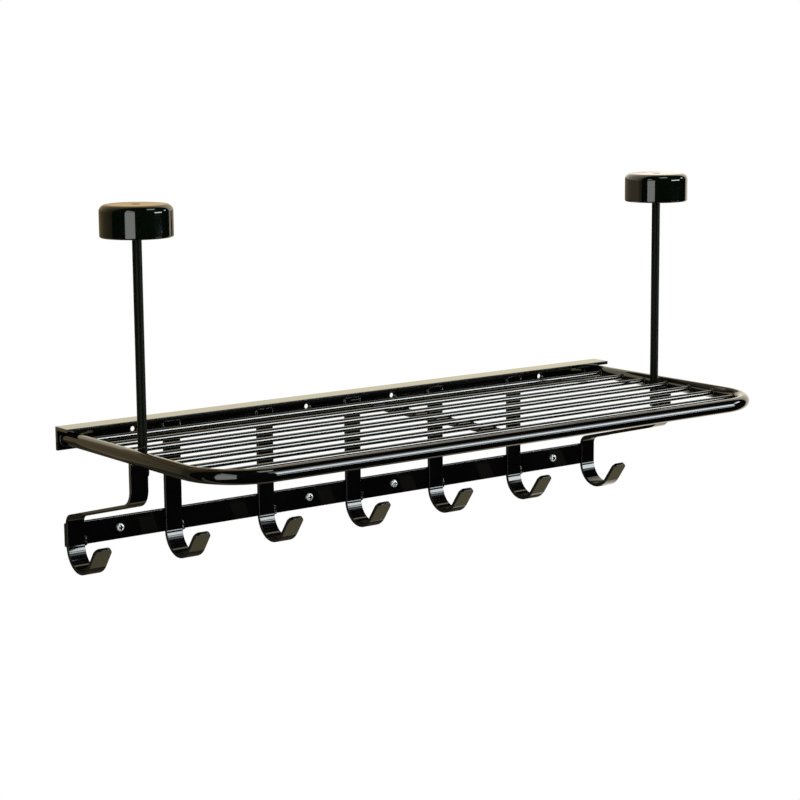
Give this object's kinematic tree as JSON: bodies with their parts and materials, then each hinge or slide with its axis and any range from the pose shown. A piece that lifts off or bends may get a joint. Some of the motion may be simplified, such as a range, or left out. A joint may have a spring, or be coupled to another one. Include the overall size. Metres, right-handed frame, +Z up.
{
  "type": "hat and coat rack",
  "caption": "Black wall rack: a rod shelf for hats on an angle rail, a row of strap coat hooks on a bar below, and a round hat perch on a post at each end.",
  "frame": {"origin": "on the wall's face, midway between the fixing holes of the wall rail", "axes": "+X along the rack, to the right seen from the room; +Y into the wall; +Z up"},
  "size_m": [0.761, 0.3045, 0.385],
  "materials": {
    "black_enamel": "gloss",
    "black_lacquered_wood": "gloss",
    "bright_zinc": "satin"
  },
  "bodies": {
    "root": {"wall_rail": "black_enamel", "shelf_frame": "black_enamel", "shelf_stay": "black_enamel", "hook_rail": "black_enamel", "shelf_rod_1": "black_enamel", "shelf_rod_2": "black_enamel", "shelf_rod_3": "black_enamel", "shelf_rod_4": "black_enamel", "shelf_rod_5": "black_enamel", "shelf_rod_6": "black_enamel", "shelf_rod_7": "black_enamel", "hook_2": "black_enamel", "hook_3": "black_enamel", "hook_4": "black_enamel", "hook_5": "black_enamel", "hook_6": "black_enamel", "end_hook_left": "black_enamel", "end_hook_right": "black_enamel", "hat_post_left": "black_enamel", "hat_post_right": "black_enamel", "hat_perch_left": "black_lacquered_wood", "hat_perch_right": "black_lacquered_wood", "hook_rail_screw_1": "bright_zinc", "hook_rail_screw_2": "bright_zinc", "hook_rail_screw_3": "bright_zinc", "hook_rail_screw_4": "bright_zinc", "perch_screw_left": "bright_zinc", "perch_screw_right": "bright_zinc"}
  },
  "joints": []
}
